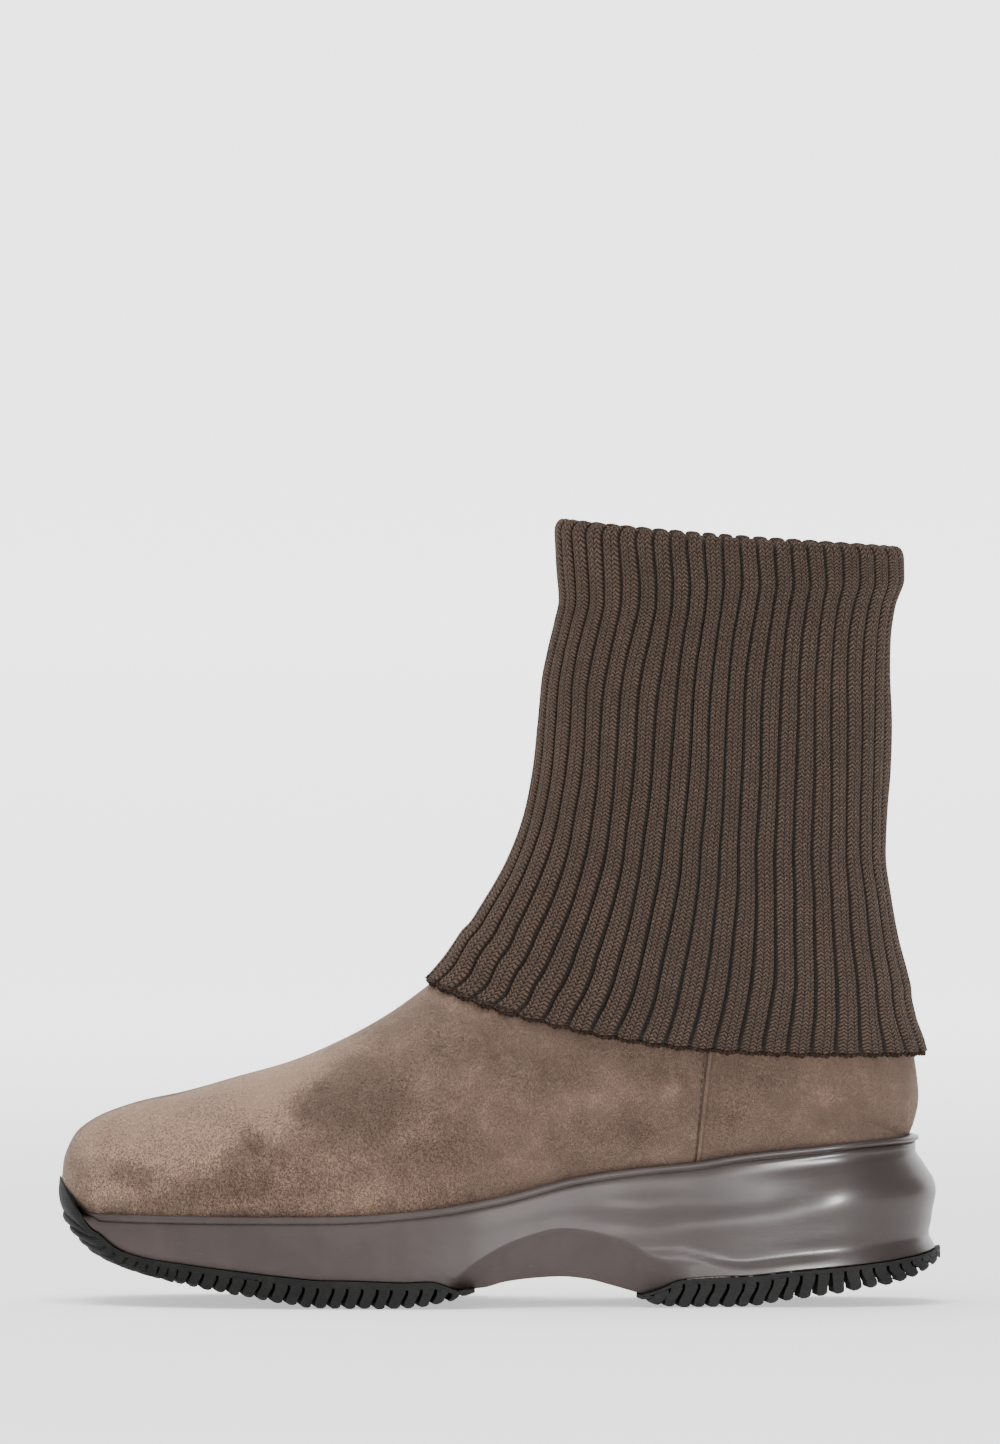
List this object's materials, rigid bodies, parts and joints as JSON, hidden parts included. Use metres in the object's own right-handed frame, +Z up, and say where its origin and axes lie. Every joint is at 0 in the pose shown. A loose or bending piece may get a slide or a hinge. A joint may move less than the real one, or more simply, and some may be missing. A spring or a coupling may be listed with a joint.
{
  "type": "knit shaft boot",
  "caption": "Left ankle boot with a suede upper, a turned-down rib-knit shaft, a moulded cup midsole and a ridged rubber tread that wraps up the toe.",
  "frame": {"origin": "on the floor, at the middle of the boot's bounding box", "axes": "+X from the toe to the heel, +Y to the inner side of the foot, +Z up; the outer side faces -Y"},
  "size_m": [0.269, 0.1008, 0.2393],
  "materials": {
    "tread_rubber": "matt black moulded rubber",
    "midsole_shell": "glossy grey-brown moulded shell",
    "insole_pad": "matt woven lining",
    "suede": "napped taupe suede",
    "rib_knit": "matt dark brown rib knit"
  },
  "bodies": {
    "root": {"outsole_forefoot": "tread_rubber", "outsole_heel": "tread_rubber", "midsole": "midsole_shell", "insole": "insole_pad", "upper": "suede", "knit_shaft": "rib_knit"}
  },
  "joints": []
}
